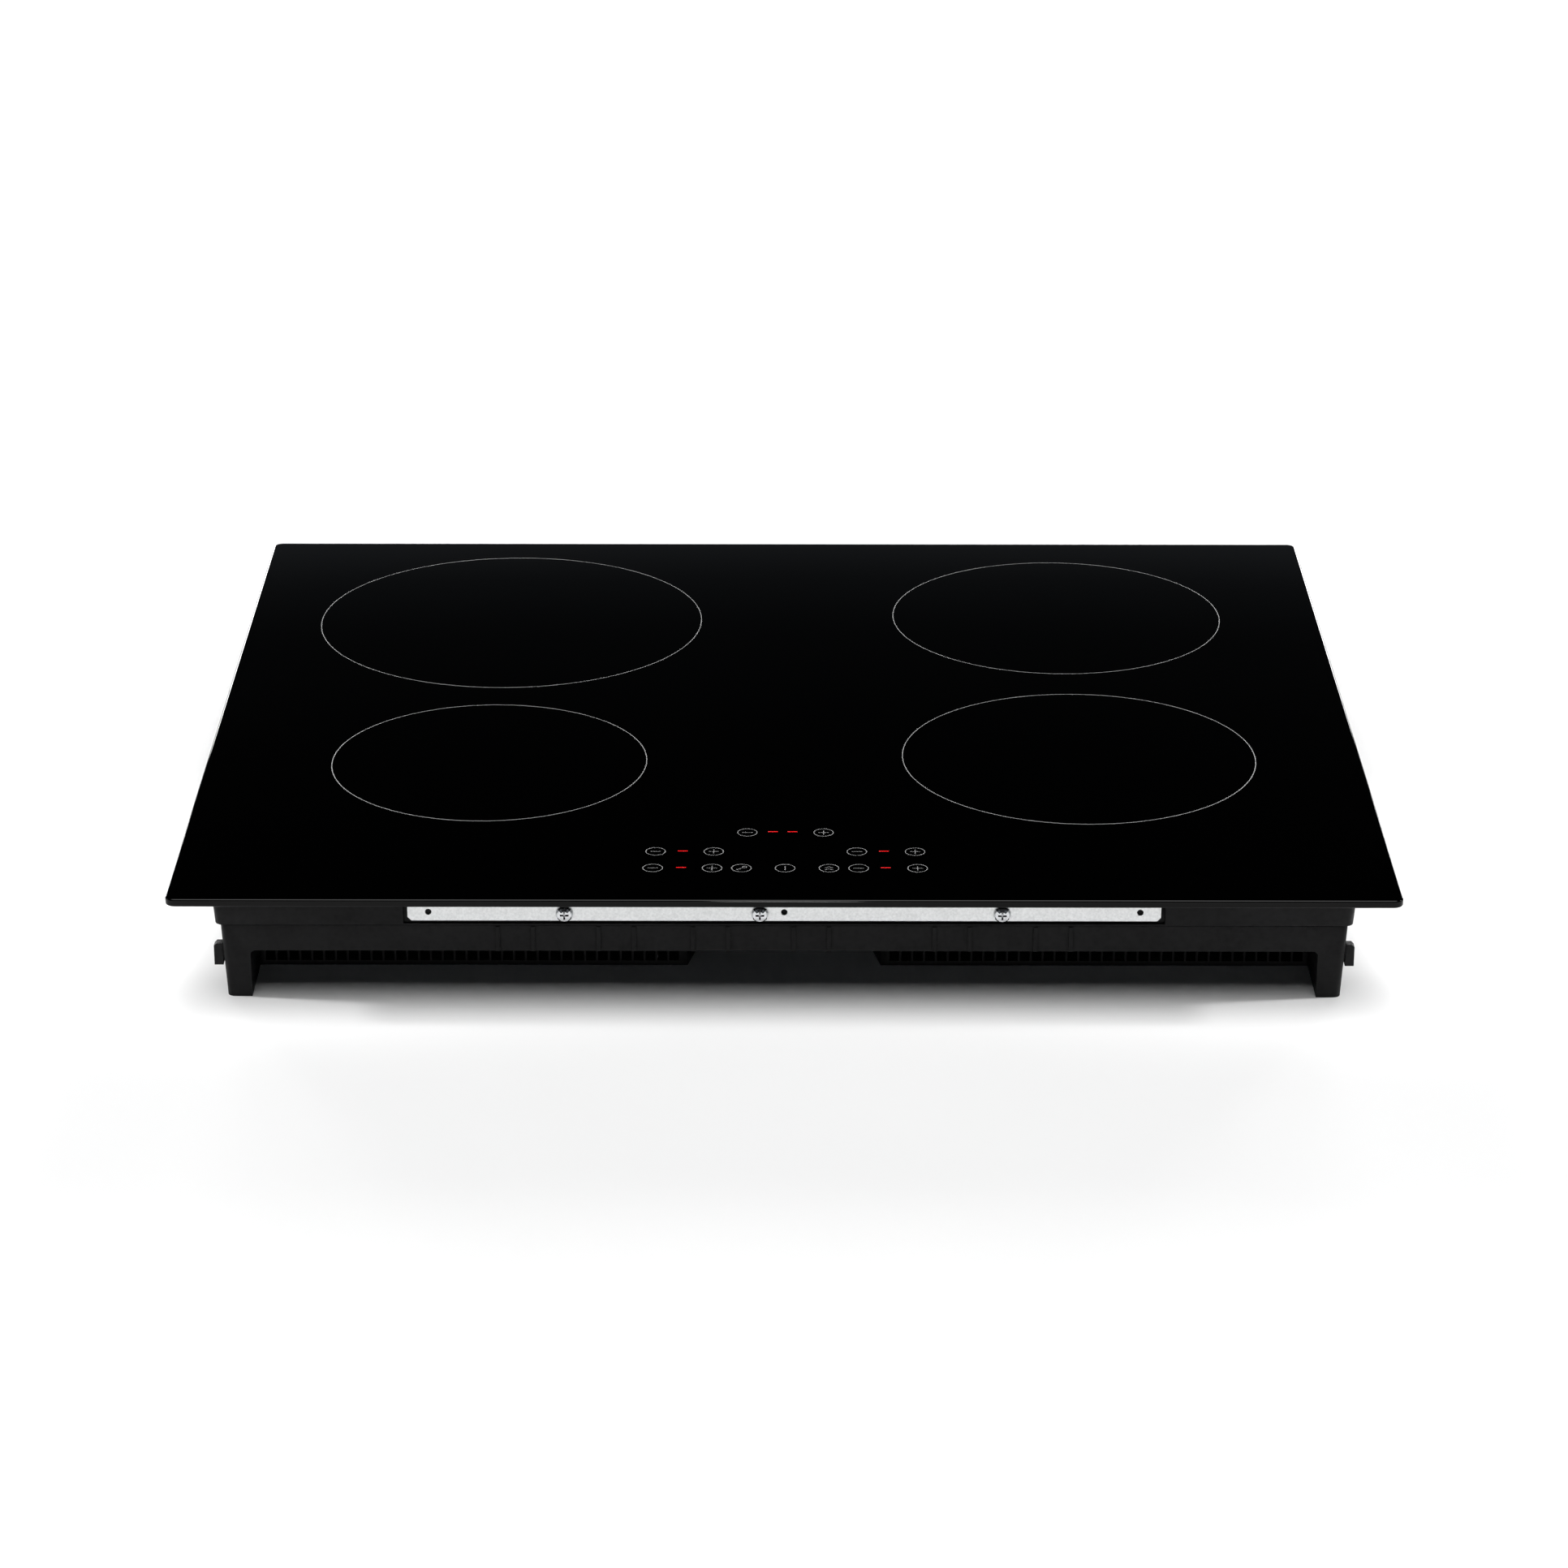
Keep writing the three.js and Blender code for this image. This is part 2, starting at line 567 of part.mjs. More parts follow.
function coilPlate(side) {
  const { z, thickness, inner, outer, front, back } = COIL_PLATE;
  const halfWidth = (outer - inner) / 2;
  const centreX = sign(side) * (inner + outer) / 2;
  const outline = roundedRectangle(halfWidth, (back - front) / 2, 6, centreX, (back + front) / 2);
  const zones = ZONES.filter((zone) => zone.name.endsWith(side));
  const wireHoles = zones.map((zone) => solidOf(rod(zone.x, zone.y, z - 1, z + 5, 6, 8)));
  const leadSlots = zones.map((zone) => {
    const towardMiddle = zone.y > 0 ? -1 : 1;
    const y = zone.y + towardMiddle * (coilRadius(zone) + 6);
    return solidOf(block(zone.x - 12, zone.x + 12, y - 3, y + 3, z - 1, z + 5));
  });
  return cut(solidOf(prism(outline, z, z + thickness, 3)), ...wireHoles, ...leadSlots);
}

// ---------------------------------------------------------------- power electronics

// Parts soldered to each power board, [inner x, outer x, front y, rear y, height] and [x, y, radius, height].
const BOARD_BOXES = {
  relayFront: [206, 236, -150, -124, 17],
  relayRear: [206, 236, -116, -90, 17],
  transformer: [160, 192, -154, -126, 22],
  controlConnector: [34, 46, -150, -106, 9],
  mainsConnector: [30, 52, 20, 40, 11],
  rearCoilTerminals: [212, 240, 8, 34, 8],
  frontCoilTerminals: [212, 240, -78, -50, 8],
};
const BOARD_CANS = {
  reservoirOuter: [130, -142, 9, 24],
  reservoirInner: [106, -142, 9, 24],
  smoothing: [84, -146, 6, 15],
  snubber: [216, -28, 8, 20],
};

function powerBoard(side) {
  const s = sign(side);
  const top = BOARD.z + BOARD.thickness;
  const sunk = top - 0.5; // each part's base is sunk a little into the board, so that the solid is one piece
  const across = (inner, outer) => [s * inner, s * outer].sort((a, b) => a - b);
  const boxes = Object.values(BOARD_BOXES).map(([inner, outer, front, rear, height]) =>
    solidOf(block(...across(inner, outer), front, rear, sunk, top + height)),
  );
  const cans = Object.values(BOARD_CANS).map(([x, y, radius, height]) =>
    solidOf(rod(s * x, y, sunk, top + height, radius)),
  );
  const board = block(...across(BOARD.inner, BOARD.outer), BOARD.front, BOARD.back, BOARD.z, top);
  return join(solidOf(board), ...boxes, ...cans);
}

function heatsink(side) {
  const { x, width, front, back, base, height, fins, fin } = HEATSINK;
  const z0 = BOARD.z + BOARD.thickness + GAP;
  const left = sign(side) * x - width / 2;
  const pitch = (width - fin) / (fins - 1);
  const points = [[left, z0], [left + width, z0]];
  for (let i = fins - 1; i >= 0; i--) {
    const edge = left + i * pitch;
    points.push([edge + fin, z0 + height], [edge, z0 + height]);
    if (i > 0) points.push([edge, z0 + base], [edge - pitch + fin, z0 + base]);
  }
  return prismAlongY(polygon(points), front, back);
}

function filterCapacitor(side) {
  const z0 = BOARD.z + BOARD.thickness + GAP;
  return prism(roundedRectangle(11, 22, 2, sign(side) * 72, 2), z0, z0 + 25, 2);
}

function choke(side) {
  const z0 = BOARD.z + BOARD.thickness + GAP;
  const tubeRadius = 7;
  return new THREE.TorusGeometry(15, tubeRadius, 8, 18).translate(sign(side) * 72, -76, z0 + tubeRadius);
}

// ---------------------------------------------------------------- blowers

// Spiral case outline, grown inwards by a wall for its inside; the outlet faces -Y.
function scroll(grow, outletY) {
  const { big, small } = BLOWER;
  const start = Math.PI;
  const turn = (275 / 180) * Math.PI;
  const steps = 20;
  const points = [[-(big - grow), outletY]];
  for (let i = 0; i <= steps; i++) {
    const angle = start - (turn * i) / steps;
    const radius = THREE.MathUtils.lerp(big, small, i / steps) - grow;
    points.push([radius * Math.cos(angle), radius * Math.sin(angle)]);
  }
  points.push([-4 - grow, outletY]);
  return polygon(points.reverse());
}

function blowerHousing(side) {
  const { x, y, bottom, height, wall, intake, outlet } = BLOWER;
  const top = bottom + height;
  const shaftEnd = bottom + 13;
  const made = join(
    cut(
      solidOf(prism(scroll(0, -outlet), bottom, top)),
      solidOf(prism(scroll(wall, -outlet - 1), bottom + wall, top - wall)),
      solidOf(rod(0, 0, 0, bottom + wall + 1, intake, 24)),
    ),
    solidOf(rod(0, 0, shaftEnd, top - 1, ROTOR.shaft, 8)),
  );
  const placed = side === "left" ? made : made.mirror([1, 0, 0]);
  return placed.translate([sign(side) * x, y, 0]);
}

// Centrifugal impeller: a closed upper disc, a ring of blades with a hoop below, and a hub with a blind bore.
function fanRotor(side) {
  const { radius, blades, hub, bore, clearance } = ROTOR;
  const low = BLOWER.bottom + BLOWER.wall + clearance;
  const high = BLOWER.bottom + BLOWER.height - BLOWER.wall - clearance;
  const boreEnd = BLOWER.bottom + 12;
  const profile = [[0, boreEnd - 2.5], [hub - 3, boreEnd - 2.5], [hub, boreEnd], [hub, high - 1.6]];
  profile.push([radius, high - 1.6], [radius, high], [bore, high], [bore, boreEnd], [0, boreEnd]);
  const vanes = [];
  for (let i = 0; i < blades; i++) {
    const vane = block(-0.6, 0.6, -4, 4, low + 0.5, high - 0.5).rotateZ(0.45).translate(0, radius - 5, 0);
    vanes.push(solidOf(vane.rotateZ((2 * Math.PI * i) / blades)));
  }
  const made = join(
    solidOf(turned(profile, 0, 0, 20)),
    solidOf(ring(0, 0, low, low + 2, radius - 3, radius, 20)),
    ...vanes,
  );
  return made.translate([sign(side) * BLOWER.x, BLOWER.y, 0]);
}

// ---------------------------------------------------------------- touch control

const CONTROL_BOARD_Z = CARRIER.z + CARRIER.wall + 1;
const CONTROL_BOARD_TOP = CONTROL_BOARD_Z + 1.6;

function controlCarrier() {
  const { halfWidth, front, back, z, wall, height } = CARRIER;
  const made = cut(
    solidOf(block(-halfWidth, halfWidth, front, back, z, z + height)),
    solidOf(block(-halfWidth + wall, halfWidth - wall, front + wall, back - wall, z + wall, z + 20)),
    solidOf(block(-80, -60, back - wall - 1, back + 1, z + wall, z + 20)),
  );
  const pegs = [-halfWidth + 6, halfWidth - 6].flatMap((x) =>
    [front + 6, back - 6].map((y) => solidOf(rod(x, y, z + 0.5, CONTROL_BOARD_Z - GAP, 3, 8))));
  return join(made, ...pegs);
}

// The board with its sprung touch electrodes, which press on the underside of the glass.
function controlBoard() {
  const { halfWidth, front, back, wall } = CARRIER;
  const clear = wall + GAP;
  const half = halfWidth - clear;
  const board = block(-half, half, front + clear, back - clear, CONTROL_BOARD_Z, CONTROL_BOARD_TOP);
  const electrodes = TOUCH_KEYS.map(([x, y]) =>
    solidOf(rod(x, y, CONTROL_BOARD_TOP - 0.5, GLASS_UNDER - GAP, 4.2, 8)));
  const chips = [
    block(-84, -76, -206, -198, CONTROL_BOARD_TOP - 0.5, CONTROL_BOARD_TOP + 1.2),
    block(76, 86, -192, -182, CONTROL_BOARD_TOP - 0.5, CONTROL_BOARD_TOP + 1.4),
    block(-79, -61, -172, -167, CONTROL_BOARD_TOP - 0.5, CONTROL_BOARD_TOP + 3),
  ].map(solidOf);
  return join(solidOf(board), ...electrodes, ...chips);
}

function display({ x, y, width }) {
  const half = DISPLAY_SIZE.depth / 2;
  const z0 = CONTROL_BOARD_TOP + GAP;
  return block(x - width / 2, x + width / 2, y - half, y + half, z0, z0 + DISPLAY_SIZE.height);
}

// ---------------------------------------------------------------- wiring and mains compartment

function controlRibbon() {
  const section = new THREE.Shape();
  section.moveTo(-7, -0.5);
  section.lineTo(7, -0.5);
  section.lineTo(7, 0.5);
  section.lineTo(-7, 0.5);
  const points = [
    [0, -164.6, 49],
    [0, -161.6, 48],
    [0, -160.7, 44],
    [0, -160.7, 34],
    [0, -161, 22],
    [0, -159, 14],
    [0, -155, 11.5],
  ];
  const extrudePath = new THREE.CatmullRomCurve3(points.map((p) => new THREE.Vector3(...p)));
  const ribbon = new THREE.ExtrudeGeometry(section, { steps: 14, extrudePath, bevelEnabled: false });
  return ribbon.translate(-70, 0, 0);
}

const HARNESS_PATHS = {
  left: [
    [152, 206, 14], [150, 190, 15.5], [120, 184, 15.5], [60, 182, 14], [-20, 180, 9],
    [-56, 160, 8], [-62, 110, 8], [-60, 66, 9], [-60, 46, 14], [-60, 36, 15],
  ],
  right: [
    [140, 206, 7], [140, 192, 7], [120, 184, 7], [84, 174, 7], [62, 146, 7],
    [60, 104, 7.5], [60, 66, 9], [60, 46, 14], [60, 36, 15],
  ],
};

function terminalBlock() {
  const x0 = 138;
  const poles = 6;
  const pitch = 10.5;
  const [y0, y1, z0, z1] = [206.5, 226.5, 2.5, 17];
  const holes = [];
  for (let i = 0; i < poles; i++) {
    const x = x0 + pitch * (i + 0.5);
    holes.push(solidOf(block(x - 2.2, x + 2.2, y0 - 1, y0 + 5, z0 + 3, z0 + 7.4)));
    holes.push(solidOf(block(x - 2.2, x + 2.2, y1 - 5, y1 + 1, z0 + 3, z0 + 7.4)));
    holes.push(solidOf(rod(x, y0 + 5, z1 - 4, z1 + 1, 2.4, 6)));
    holes.push(solidOf(rod(x, y1 - 5, z1 - 4, z1 + 1, 2.4, 6)));
  }
  return cut(solidOf(block(x0, x0 + poles * pitch, y0, y1, z0, z1)), ...holes);
}

function terminalCover() {
  const { left, right, bottom, y, thickness } = COVER;
  const { y: axisY, z: axisZ, barrel, bore } = COVER_HINGE;
  const middle = (left + right) / 2;
  const made = join(
    solidOf(block(left, right, y, y + thickness, bottom, axisZ)),
    solidOf(rodAlongX(axisY, axisZ, left, right, barrel, 12)),
    solidOf(block(middle - 9, middle + 9, y, y + thickness + 1.8, bottom, bottom + 2.2)),
    solidOf(block(left + 8, right - 8, y, y + thickness + 0.7, 12, 13.2)),
    solidOf(block(left + 8, right - 8, y, y + thickness + 0.7, 19, 20.2)),
    solidOf(block(left + 8, right - 8, y, y + thickness + 0.7, 26, 27.2)),
  );
  return cut(made, solidOf(rodAlongX(axisY, axisZ, left - 1, right + 1, bore)));
}

function coverPin() {
  const { left, right } = COVER;
  const end = COVER_HINGE.ear + 0.8;
  return rodAlongX(COVER_HINGE.y, COVER_HINGE.z, left - end, right + end, COVER_HINGE.pin);
}

// A bushing through the rear wall for the mains lead, flanged outside and clamped inside.
function cableGland() {
  const { x, z, bore, body, flange } = GLAND;
  const wallFace = trayHalf("y", z + body) + 0.8;
  const [inside, flangeFace, nose] = [wallFace - 7, wallFace + 2, wallFace + 4.6];
  const profile = [[bore, inside], [body, inside], [body, wallFace], [flange, wallFace]];
  profile.push([flange, flangeFace], [8.6, flangeFace], [7.8, nose], [bore, nose], [bore, inside]);
  const points = profile.map(([r, y]) => new THREE.Vector2(r, y));
  return new THREE.LatheGeometry(points, 16).translate(x, 0, z);
}

// ---------------------------------------------------------------- assembly

add("glass_top", glassTop(), MATERIALS.glass);
add("glass_seal", glassSeal(), MATERIALS.foam);
add("adhesive_bead", adhesiveBead(), MATERIALS.silicone);
add("upper_frame", upperFrame(), MATERIALS.blackPlastic);
add("bottom_tray", bottomTray(), MATERIALS.blackPlastic);
for (const side of SIDES) {
  for (const [place, y] of Object.entries(LATCH.y)) {
    add(`side_latch_${place}_${side}`, sideLatch(side, y), MATERIALS.darkPlastic);
  }
}
add("front_bracket", frontBracket(), MATERIALS.zinc);
for (const [place, x] of Object.entries(BRACKET_SCREWS.x)) {
  add(`bracket_screw_${place}`, bracketScrew(x), MATERIALS.steel);
}
for (const zone of ZONES) {
  add(`coil_former_${zone.name}`, coilFormer(zone), MATERIALS.former);
  add(`coil_winding_${zone.name}`, coilWinding(zone), MATERIALS.copper);
  add(`mica_sheet_${zone.name}`, micaSheet(zone), MATERIALS.mica);
  add(`temperature_sensor_${zone.name}`, temperatureSensor(zone), MATERIALS.silicone);
}
for (const side of SIDES) {
  add(`coil_plate_${side}`, coilPlate(side), MATERIALS.aluminium);
  add(`power_board_${side}`, powerBoard(side), MATERIALS.circuit);
  add(`heatsink_${side}`, heatsink(side), MATERIALS.aluminium);
  add(`filter_capacitor_${side}`, filterCapacitor(side), MATERIALS.capacitor);
  add(`choke_${side}`, choke(side), MATERIALS.ferrite);
  add(`blower_housing_${side}`, blowerHousing(side), MATERIALS.darkPlastic);
  add(`fan_rotor_${side}`, fanRotor(side), MATERIALS.darkPlastic);
  add(`mains_harness_${side}`, tube(HARNESS_PATHS[side], 3, 26), MATERIALS.wire);
}
add("control_carrier", controlCarrier(), MATERIALS.darkPlastic);
add("control_board", controlBoard(), MATERIALS.circuit);
for (const [name, place] of Object.entries(DISPLAYS)) {
  add(name, display(place), MATERIALS.display);
}
add("control_ribbon", controlRibbon(), MATERIALS.wire);
add("terminal_block", terminalBlock(), MATERIALS.ceramic);
add("terminal_cover", terminalCover(), MATERIALS.blackPlastic);
add("terminal_cover_pin", coverPin(), MATERIALS.steel);
add("cable_gland", cableGland(), MATERIALS.darkPlastic);

export default cooktop;
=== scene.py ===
# Looks of a four-zone built-in induction cooktop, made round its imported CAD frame.
# Metres, +Z up. The front, with the touch control, faces -Y.
import json
import math

import bmesh
import bpy
from mathutils import Matrix, Vector


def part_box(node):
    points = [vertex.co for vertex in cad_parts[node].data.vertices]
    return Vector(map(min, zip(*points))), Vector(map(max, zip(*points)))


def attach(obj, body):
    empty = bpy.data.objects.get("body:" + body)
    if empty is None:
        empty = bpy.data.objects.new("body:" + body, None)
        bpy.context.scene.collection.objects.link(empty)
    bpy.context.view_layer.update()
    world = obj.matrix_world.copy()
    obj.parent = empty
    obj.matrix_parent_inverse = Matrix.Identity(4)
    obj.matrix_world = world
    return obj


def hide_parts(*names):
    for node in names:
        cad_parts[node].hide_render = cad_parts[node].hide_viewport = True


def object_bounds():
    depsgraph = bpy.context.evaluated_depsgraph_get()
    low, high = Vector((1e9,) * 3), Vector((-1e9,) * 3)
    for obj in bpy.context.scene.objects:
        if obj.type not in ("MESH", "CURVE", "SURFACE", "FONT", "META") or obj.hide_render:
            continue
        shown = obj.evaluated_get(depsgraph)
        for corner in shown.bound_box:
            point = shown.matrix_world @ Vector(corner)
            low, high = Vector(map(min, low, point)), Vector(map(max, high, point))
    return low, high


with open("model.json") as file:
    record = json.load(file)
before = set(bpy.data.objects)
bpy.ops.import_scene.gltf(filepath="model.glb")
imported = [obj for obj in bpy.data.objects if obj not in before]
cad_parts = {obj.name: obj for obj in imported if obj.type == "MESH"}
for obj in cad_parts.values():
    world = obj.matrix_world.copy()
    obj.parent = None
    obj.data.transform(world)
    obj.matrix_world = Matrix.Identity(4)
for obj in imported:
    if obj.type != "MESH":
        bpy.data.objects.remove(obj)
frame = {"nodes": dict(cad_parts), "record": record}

MM = 0.001
CAD_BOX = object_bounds()
LOW, HIGH = CAD_BOX
NODES = frame["nodes"]
COOKTOP = "cooktop"
ZONES = ("rear_left", "rear_right", "front_left", "front_right")


# ---------------------------------------------------------------- camera, light and floor

# The camera's distances are from the top front edge of the glass, in metres; its angles are in degrees.
CAMERA_LENS_MM = 107.06
CAMERA_PITCH_DOWN = 21.942
CAMERA_ROLL = 0.076
CAMERA_ABOVE_GLASS = 0.8793
CAMERA_BEFORE_GLASS = 2.0348
CAMERA_X = -0.2 * MM


def make_camera():
    data = bpy.data.cameras.new("camera")
    data.lens = CAMERA_LENS_MM
    camera = bpy.data.objects.new("camera", data)
    camera.location = (CAMERA_X, LOW.y - CAMERA_BEFORE_GLASS, HIGH.z + CAMERA_ABOVE_GLASS)
    pitch = Matrix.Rotation(math.radians(90 - CAMERA_PITCH_DOWN), 4, "X")
    roll = Matrix.Rotation(math.radians(CAMERA_ROLL), 4, "Z")
    camera.rotation_euler = (pitch @ roll).to_euler()
    bpy.context.scene.collection.objects.link(camera)
    bpy.context.scene.camera = camera


SUN_DISTANCE = 3


def add_sun(name, azimuth, elevation, width, energy):
    """A far light, its angles in degrees. Azimuth 0 is behind the cooktop and 180 in front of it."""
    data = bpy.data.lights.new(name, "SUN")
    data.energy = energy
    data.angle = math.radians(width)
    light = bpy.data.objects.new(name, data)
    turn, rise = math.radians(azimuth), math.radians(elevation)
    toward = Vector((math.sin(turn) * math.cos(rise), math.cos(turn) * math.cos(rise), math.sin(rise)))
    light.location = toward * SUN_DISTANCE
    light.rotation_euler = toward.to_track_quat("Z", "Y").to_euler()
    bpy.context.scene.collection.objects.link(light)


# The two side spots: places in metres, energy in watts, angle in degrees.
SPOT_X = 1.25
SPOT_Y = -0.13
SPOT_HEIGHT = 0.6
SPOT_AIM_X = 0.33
SPOT_ENERGY = 80
SPOT_ANGLE = 17
SPOT_SOFT_RADIUS = 0.06


def add_side_spot(name, side):
    """A soft-edged spot that lights the floor along one side wall of the tray."""
    data = bpy.data.lights.new(name, "SPOT")
    data.energy = SPOT_ENERGY
    data.spot_size = math.radians(SPOT_ANGLE)
    data.spot_blend = 1.0
    data.shadow_soft_size = SPOT_SOFT_RADIUS
    light = bpy.data.objects.new(name, data)
    light.location = (side * SPOT_X, SPOT_Y, SPOT_HEIGHT)
    target = Vector((side * SPOT_AIM_X, SPOT_Y, LOW.z))
    light.rotation_euler = (light.location - target).to_track_quat("Z", "Y").to_euler()
    bpy.context.scene.collection.objects.link(light)


def make_lights():
    add_sun("overhead_softbox", azimuth=180, elevation=81, width=54, energy=3.35)
    for i, azimuth in enumerate((-27, -12, 12, 27)):
        add_sun(f"rear_softbox_{i}", azimuth, elevation=12.5, width=11, energy=0.62)
    add_sun("low_front_softbox", azimuth=180, elevation=1.6, width=3, energy=0.3)
    add_side_spot("left_spot", -1)
    add_side_spot("right_spot", 1)


# The dark room's light by height: the vertical part of a direction, and how bright the room is there.
ROOM_GLOW = ((0.322, 0.082), (0.331, 0.032), (0.342, 0.014), (0.365, 0.005), (0.385, 0.002))
ROOM_TINT = (0.92, 1, 1.1)


def make_world():
    world = bpy.data.worlds.new("dark_studio")
    bpy.context.scene.world = world
    world.use_nodes = True
    tree = world.node_tree
    background = tree.nodes["Background"]
    direction = tree.nodes.new("ShaderNodeTexCoord")
    split = tree.nodes.new("ShaderNodeSeparateXYZ")
    ramp = tree.nodes.new("ShaderNodeValToRGB")
    tree.links.new(direction.outputs["Generated"], split.inputs[0])
    tree.links.new(split.outputs["Z"], ramp.inputs["Fac"])
    tree.links.new(ramp.outputs["Color"], background.inputs["Color"])
    stops = ramp.color_ramp.elements
    for i, (height, level) in enumerate(ROOM_GLOW):
        stop = stops[i] if i < 2 else stops.new(height)
        stop.position = height
        stop.color = (*(tint * level for tint in ROOM_TINT), 1)


FLOOR_SIZE = 60


def make_floor():
    bpy.ops.mesh.primitive_plane_add(size=FLOOR_SIZE, location=(0, 0, LOW.z))
    floor = bpy.context.object
    floor.name = "floor"
    look = Look("pale_floor", grey(0.86), roughness=0.9, specular=0.1)
    look.vary_color(look.noise(scale=6, detail=3), grey(0.855), grey(0.865))
    floor.data.materials.append(look.material)


# ---------------------------------------------------------------- materials


# The front face of the slotted wall, how near to it a point counts as on it, the heights between
# which its bars turn paler with painted light, and the grey of that painted light at the bars' tops.
VENT_WALL_Y = -201.5 * MM
VENT_WALL_MARGIN = 0.8 * MM
VENT_WALL_HALF_WIDTH = 257 * MM
VENT_BAR_PAINTED_LIGHT_RISE = (13 * MM, 24 * MM)
VENT_BAR_PAINTED_LIGHT_LEVEL = 0.07

# The middle part of a noise's range, where most of its values lie.
NOISE_RANGE = (0.3, 0.7)


def grey(level):
    return (level, level, level)


class Look:
    """A Principled material with helpers that add procedural detail in the object's own metres."""

    def __init__(self, name, color, roughness, metallic=0.0, specular=0.5):
        self.material = bpy.data.materials.new(name)
        self.material.use_nodes = True
        self.tree = self.material.node_tree
        self.shader = self.tree.nodes["Principled BSDF"]
        self.set("Base Color", (*color, 1))
        self.set("Roughness", roughness)
        self.set("Metallic", metallic)
        self.set("Specular IOR Level", specular)
        self.material.diffuse_color = (*color, 1)
        self.coords = self.node("ShaderNodeTexCoord").outputs["Object"]
        self.normal = None

    def node(self, kind, **settings):
        made = self.tree.nodes.new(kind)
        for key, value in settings.items():
            setattr(made, key, value)
        return made

    def set(self, socket, value):
        self.shader.inputs[socket].default_value = value

    def link(self, output, target):
        self.tree.links.new(output, target)

    def stretched(self, factors):
        mapping = self.node("ShaderNodeMapping")
        mapping.inputs["Scale"].default_value = factors
        self.link(self.coords, mapping.inputs["Vector"])
        return mapping.outputs["Vector"]

    def noise(self, scale, detail=2.0, stretch=None):
        made = self.node("ShaderNodeTexNoise")
        made.inputs["Scale"].default_value = scale
        made.inputs["Detail"].default_value = detail
        self.link(self.stretched(stretch) if stretch else self.coords, made.inputs["Vector"])
        return made.outputs["Fac"]

    def cells(self, scale):
        made = self.node("ShaderNodeTexVoronoi", feature="F1")
        made.inputs["Scale"].default_value = scale
        self.link(self.coords, made.inputs["Vector"])
        return made.outputs["Distance"]

    def remap(self, value, low, high, source=NOISE_RANGE):
        made = self.node("ShaderNodeMapRange")
        made.inputs["From Min"].default_value, made.inputs["From Max"].default_value = source
        made.inputs["To Min"].default_value = low
        made.inputs["To Max"].default_value = high
        self.link(value, made.inputs["Value"])
        return made.outputs["Result"]

    def vary_roughness(self, value, low, high):
        self.link(self.remap(value, low, high), self.shader.inputs["Roughness"])

    def vary_color(self, value, low, high):
        ramp = self.node("ShaderNodeValToRGB")
        stops = ramp.color_ramp.elements
        stops[0].position, stops[1].position = NOISE_RANGE
        stops[0].color = (*low, 1)
        stops[1].color = (*high, 1)
        self.link(value, ramp.inputs["Fac"])
        self.link(ramp.outputs["Color"], self.shader.inputs["Base Color"])

    def mix_color(self, amount, color):
        """Lays a second colour over the base colour, as much as the amount says."""
        base = self.shader.inputs["Base Color"].links[0].from_socket
        mix = self.node("ShaderNodeMixRGB")
        mix.inputs["Color2"].default_value = (*color, 1)
        self.link(amount, mix.inputs["Fac"])
        self.link(base, mix.inputs["Color1"])
        self.link(mix.outputs["Color"], self.shader.inputs["Base Color"])

    def painted_seam_shade_mask(self, reach):
        """Painted shade: near one deep in seams and inner corners, zero on open faces."""
        nearby = self.node("ShaderNodeAmbientOcclusion", samples=8)
        nearby.inputs["Distance"].default_value = reach
        return self.remap(nearby.outputs["AO"], low=0.9, high=0.0, source=(0.5, 0.97))

    def math(self, operation, *values):
        made = self.node("ShaderNodeMath", operation=operation)
        for socket, value in zip(made.inputs, values):
            if isinstance(value, bpy.types.NodeSocket):
                self.link(value, socket)
            else:
                socket.default_value = value
        return made.outputs[0]

    def vent_bar_painted_light_mask(self):
        """Painted light on the vent bars: rises from zero to one up the front of the slotted wall, zero
        elsewhere.
        """
        split = self.node("ShaderNodeSeparateXYZ")
        self.link(self.coords, split.inputs[0])
        x, y, z = split.outputs
        on_wall = self.math("COMPARE", y, VENT_WALL_Y, VENT_WALL_MARGIN)
        between_legs = self.math("LESS_THAN", self.math("ABSOLUTE", x), VENT_WALL_HALF_WIDTH)
        rise = self.remap(z, low=0, high=1, source=VENT_BAR_PAINTED_LIGHT_RISE)
        return self.math("MULTIPLY", self.math("MULTIPLY", on_wall, between_legs), rise)

    def bump(self, value, strength, distance):
        made = self.node("ShaderNodeBump")
        made.inputs["Strength"].default_value = strength
        made.inputs["Distance"].default_value = distance
        self.link(value, made.inputs["Height"])
        if self.normal:
            self.link(self.normal, made.inputs["Normal"])
        self.normal = made.outputs["Normal"]
        self.link(self.normal, self.shader.inputs["Normal"])


def black_glass():
    look = Look("black_glass", grey(0.0001), roughness=0.03, specular=0.17)
    look.vary_roughness(look.noise(scale=9, detail=4), 0.018, 0.03)
    look.bump(look.noise(scale=2.5, detail=2), strength=0.02, distance=0.4 * MM)
    return look.material


def plastic(name, dark, light, roughness, grain=2600, specular=0.35):
    """A grained surface whose colour wanders between dark and light; a higher grain is finer."""
    look = Look(name, light, roughness, specular=specular)
    look.vary_color(look.noise(scale=60, detail=5), dark, light)
    look.vary_roughness(look.noise(scale=420, detail=3), roughness - 0.07, roughness + 0.07)
    look.bump(look.noise(scale=grain, detail=3), strength=0.35, distance=0.1 * MM)
    return look.material


